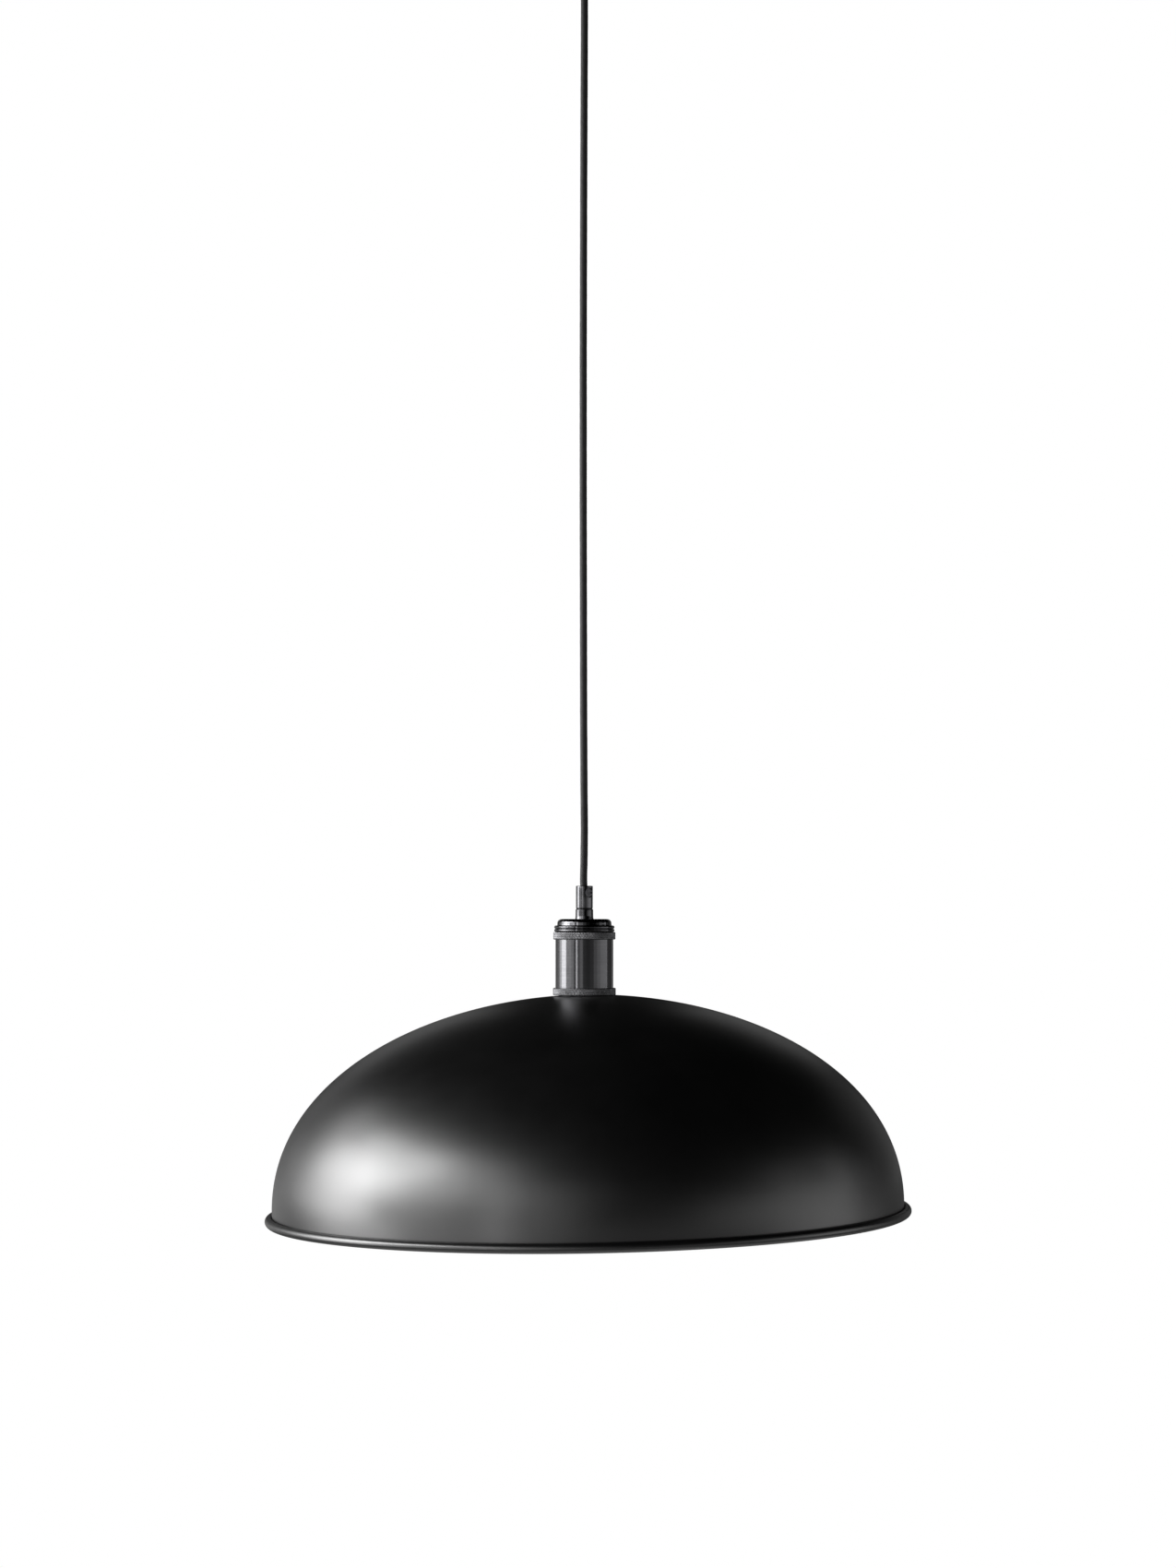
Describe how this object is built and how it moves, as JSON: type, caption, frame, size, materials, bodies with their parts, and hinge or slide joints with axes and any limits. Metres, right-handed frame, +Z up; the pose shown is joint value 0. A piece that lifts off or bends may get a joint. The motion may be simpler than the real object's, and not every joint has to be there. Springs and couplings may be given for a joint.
{
  "type": "pendant ceiling light",
  "caption": "Wide black metal dome pendant light with a rolled rim, a knurled dark metal lampholder and a straight textile-covered cable on a small ceiling canopy.",
  "frame": {"origin": "centre of the ceiling bracket's upper face, midway between its two screw slots, where it meets the ceiling", "axes": "+Z up into the ceiling along the cable and lampholder axis, +X to the viewer's right along the row of ceiling screws, -Y towards the viewer"},
  "size_m": [0.4999, 0.5, 1.0466],
  "materials": {
    "bracket_zinc": "zinc plated",
    "canopy_black": "satin powder coat",
    "black_screws": "satin",
    "brass": "plain",
    "terminal_nylon": "matte",
    "steel_screws": "plain",
    "polished_dark_nickel": "polished",
    "dark_screw": "satin",
    "brushed_dark_nickel": "brushed",
    "knurled_dark_nickel": "knurled",
    "black_braid": "woven textile",
    "brown_wire": "satin",
    "blue_wire": "satin",
    "earth_wire": "satin",
    "black_phenolic": "satin",
    "porcelain": "glazed",
    "shade_black": "satin powder coat",
    "bulb_glass": "clear",
    "cap_nickel": "plain",
    "bulb_insulator": "gloss",
    "bulb_wire": "plain"
  },
  "bodies": {
    "ceiling_mount": {"ceiling_bracket": "bracket_zinc", "canopy_cup": "canopy_black", "canopy_screws": "black_screws", "bracket_earth_screw": "brass", "bracket_earth_tag": "brass", "terminal_block": "terminal_nylon", "terminal_sleeves": "brass", "terminal_screws": "steel_screws", "canopy_nipple": "brass", "canopy_nut": "brass", "canopy_grip": "polished_dark_nickel", "canopy_grip_screw": "dark_screw", "canopy_cable": "black_braid", "canopy_lead_live": "brown_wire", "canopy_lead_neutral": "blue_wire", "canopy_lead_earth": "earth_wire"},
    "cable_knuckle": {"cable_bend": "black_braid"},
    "hanging_cable": {"cable": "black_braid"},
    "lampholder": {"holder_cable": "black_braid", "grip_sleeve": "polished_dark_nickel", "grip_collar": "polished_dark_nickel", "grip_screw": "dark_screw", "holder_nipple": "brass", "holder_nut": "brass", "lock_washer": "bracket_zinc", "holder_earth_tag": "brass", "socket_cap": "polished_dark_nickel", "upper_ring": "knurled_dark_nickel", "socket_sleeve": "brushed_dark_nickel", "lower_ring": "knurled_dark_nickel", "threaded_skirt": "black_phenolic", "contact_base": "porcelain", "thread_shell": "brass", "centre_contact": "brass", "holder_terminals": "brass", "holder_terminal_screws": "steel_screws", "holder_lead_live": "brown_wire", "holder_lead_neutral": "blue_wire", "holder_lead_earth": "earth_wire"},
    "shade_body": {"shade": "shade_black"},
    "shade_ring": {"retaining_ring": "black_phenolic"},
    "bulb_envelope": {"bulb_glass": "bulb_glass"},
    "bulb_base": {"bulb_cap": "cap_nickel", "bulb_insulator": "bulb_insulator", "bulb_tip": "cap_nickel", "bulb_stem": "bulb_glass", "bulb_support_wires": "bulb_wire", "bulb_filament": "bulb_wire"}
  },
  "joints": [
    {"name": "swing_front_back", "type": "hinge", "parent": "ceiling_mount", "child": "cable_knuckle", "pos_m": [0, 0, -0.0665], "axis": [1, 0, 0], "range_deg": [-30, 30]},
    {"name": "swing_left_right", "type": "hinge", "parent": "cable_knuckle", "child": "hanging_cable", "pos_m": [0, 0, -0.0665], "axis": [0, 1, 0], "range_deg": [-30, 30]},
    {"name": "lamp_twist", "type": "hinge", "parent": "hanging_cable", "child": "lampholder", "pos_m": [0, 0, -0.7854], "axis": [0, 0, 1], "range_deg": [-180, 180]},
    {"name": "shade_travel", "type": "slide", "parent": "lampholder", "child": "shade_body", "axis": [0, 0, -1], "range_m": [0, 0.01]},
    {"name": "shade_ring_turn", "type": "hinge", "parent": "shade_body", "child": "shade_ring", "pos_m": [0, 0, -0.8762], "axis": [0, 0, -1], "range_deg": [0, 1441]},
    {"name": "bulb_travel", "type": "slide", "parent": "lampholder", "child": "bulb_envelope", "axis": [0, 0, -1], "range_m": [0, 0.01814]},
    {"name": "bulb_turn", "type": "hinge", "parent": "bulb_envelope", "child": "bulb_base", "pos_m": [0, 0, -0.8652], "axis": [0, 0, -1], "range_deg": [0, 1801]}
  ],
  "couplings": [
    {"joint": "shade_ring_turn", "follows": "shade_travel", "rad_per_m": 2513.3},
    {"joint": "bulb_turn", "follows": "bulb_travel", "rad_per_m": 1731.4}
  ]
}
